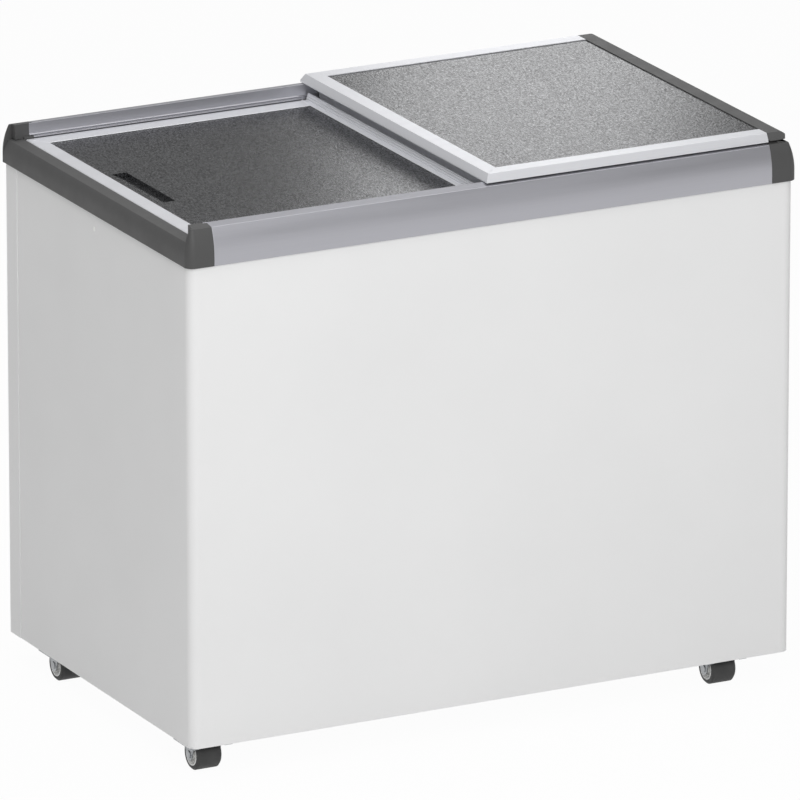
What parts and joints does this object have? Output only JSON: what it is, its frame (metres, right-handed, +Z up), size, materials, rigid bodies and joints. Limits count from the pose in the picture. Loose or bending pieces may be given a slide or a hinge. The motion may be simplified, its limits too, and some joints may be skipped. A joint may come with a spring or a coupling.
{
  "type": "ice cream dipping cabinet",
  "caption": "White chest cabinet for ice cream with two flat sliding lids in aluminium rails, an insulated well, a machine compartment and fixed rollers.",
  "frame": {"origin": "on the floor, under the middle of the cabinet", "axes": "+X to the right seen from the front, along the rails; +Y to the back; +Z up"},
  "size_m": [1.045, 0.658, 0.884],
  "materials": {
    "white_paint": "satin",
    "rail_aluminium": "satin anodised",
    "frame_aluminium": "satin",
    "embossed_aluminium": "stucco embossed",
    "dark_plastic": "fine grain",
    "grey_plastic": "satin",
    "cap_plastic": "satin",
    "white_plastic": "smooth",
    "frame_plastic": "satin",
    "foam": "porous",
    "liner_metal": "smooth",
    "galvanised": "galvanised",
    "black_rubber": "matt",
    "black_paint": "semi gloss",
    "copper": "drawn",
    "motor_metal": "satin"
  },
  "bodies": {
    "cabinet": {"front_panel": "white_paint", "rear_panel": "white_paint", "left_side_panel": "white_paint", "right_side_panel": "white_paint", "base_plate": "galvanised", "machine_tray": "galvanised", "partition": "galvanised", "caster_brackets": "galvanised", "screws": "galvanised", "insulation_foam": "foam", "inner_liner": "liner_metal", "drain_tube": "white_plastic", "side_plug": "white_plastic", "evaporator_coil": "copper", "refrigerant_lines": "copper", "filter_drier": "copper", "inner_frame": "frame_plastic", "front_rail": "rail_aluminium", "rear_rail": "rail_aluminium", "left_end_rail": "grey_plastic", "right_end_rail": "grey_plastic", "front_left_cap": "cap_plastic", "front_right_cap": "cap_plastic", "rear_left_cap": "cap_plastic", "rear_right_cap": "cap_plastic", "lid_buffers": "black_rubber", "compressor_grommets": "black_rubber", "compressor": "black_paint", "condenser": "black_paint", "terminal_box": "dark_plastic", "fan_shroud": "dark_plastic", "machine_grille": "dark_plastic", "thermostat": "dark_plastic", "power_gland": "dark_plastic", "fan_motor": "motor_metal"},
    "lower_lid": {"lower_lid_left_frame": "frame_aluminium", "lower_lid_front_frame": "frame_aluminium", "lower_lid_rear_frame": "frame_aluminium", "lower_lid_meeting_rail": "frame_aluminium", "lower_lid_sheets": "embossed_aluminium", "lower_lid_core": "foam", "lower_lid_glides": "dark_plastic"},
    "upper_lid": {"upper_lid_left_frame": "frame_aluminium", "upper_lid_front_frame": "frame_aluminium", "upper_lid_rear_frame": "frame_aluminium", "upper_lid_handle": "grey_plastic", "upper_lid_sheets": "embossed_aluminium", "upper_lid_core": "foam", "upper_lid_glides": "dark_plastic"},
    "drain_stopper": {"drain_plug": "white_plastic"},
    "fan": {"fan_rotor": "motor_metal"},
    "knob": {"control_knob": "dark_plastic"},
    "front_left_wheel": {"front_left_hub": "white_plastic", "front_left_tyre": "black_rubber"},
    "front_right_wheel": {"front_right_hub": "white_plastic", "front_right_tyre": "black_rubber"},
    "rear_left_wheel": {"rear_left_hub": "white_plastic", "rear_left_tyre": "black_rubber"},
    "rear_right_wheel": {"rear_right_hub": "white_plastic", "rear_right_tyre": "black_rubber"}
  },
  "joints": [
    {"name": "lower_lid_slide", "type": "slide", "parent": "cabinet", "child": "lower_lid", "axis": [1, 0, 0], "range_m": [0, 0.47]},
    {"name": "upper_lid_slide", "type": "slide", "parent": "cabinet", "child": "upper_lid", "axis": [1, 0, 0], "range_m": [-0.47, 0]},
    {"name": "drain_plug_lift", "type": "slide", "parent": "cabinet", "child": "drain_stopper", "axis": [0, 0, 1], "range_m": [0, 0.04]},
    {"name": "fan_spin", "type": "hinge", "parent": "cabinet", "child": "fan", "pos_m": [0.3845, -0.1975, 0.1635], "axis": [0, 1, 0], "continuous": true},
    {"name": "knob_turn", "type": "hinge", "parent": "cabinet", "child": "knob", "pos_m": [0.515, 0.104, 0.222], "axis": [1, 0, 0], "range_deg": [-270, 0]},
    {"name": "front_left_roll", "type": "hinge", "parent": "cabinet", "child": "front_left_wheel", "pos_m": [-0.4825, -0.291, 0.025], "axis": [1, 0, 0], "continuous": true},
    {"name": "front_right_roll", "type": "hinge", "parent": "cabinet", "child": "front_right_wheel", "pos_m": [0.409, -0.291, 0.025], "axis": [1, 0, 0], "continuous": true},
    {"name": "rear_left_roll", "type": "hinge", "parent": "cabinet", "child": "rear_left_wheel", "pos_m": [-0.4825, 0.185, 0.025], "axis": [1, 0, 0], "continuous": true},
    {"name": "rear_right_roll", "type": "hinge", "parent": "cabinet", "child": "rear_right_wheel", "pos_m": [0.409, 0.185, 0.025], "axis": [1, 0, 0], "continuous": true}
  ]
}
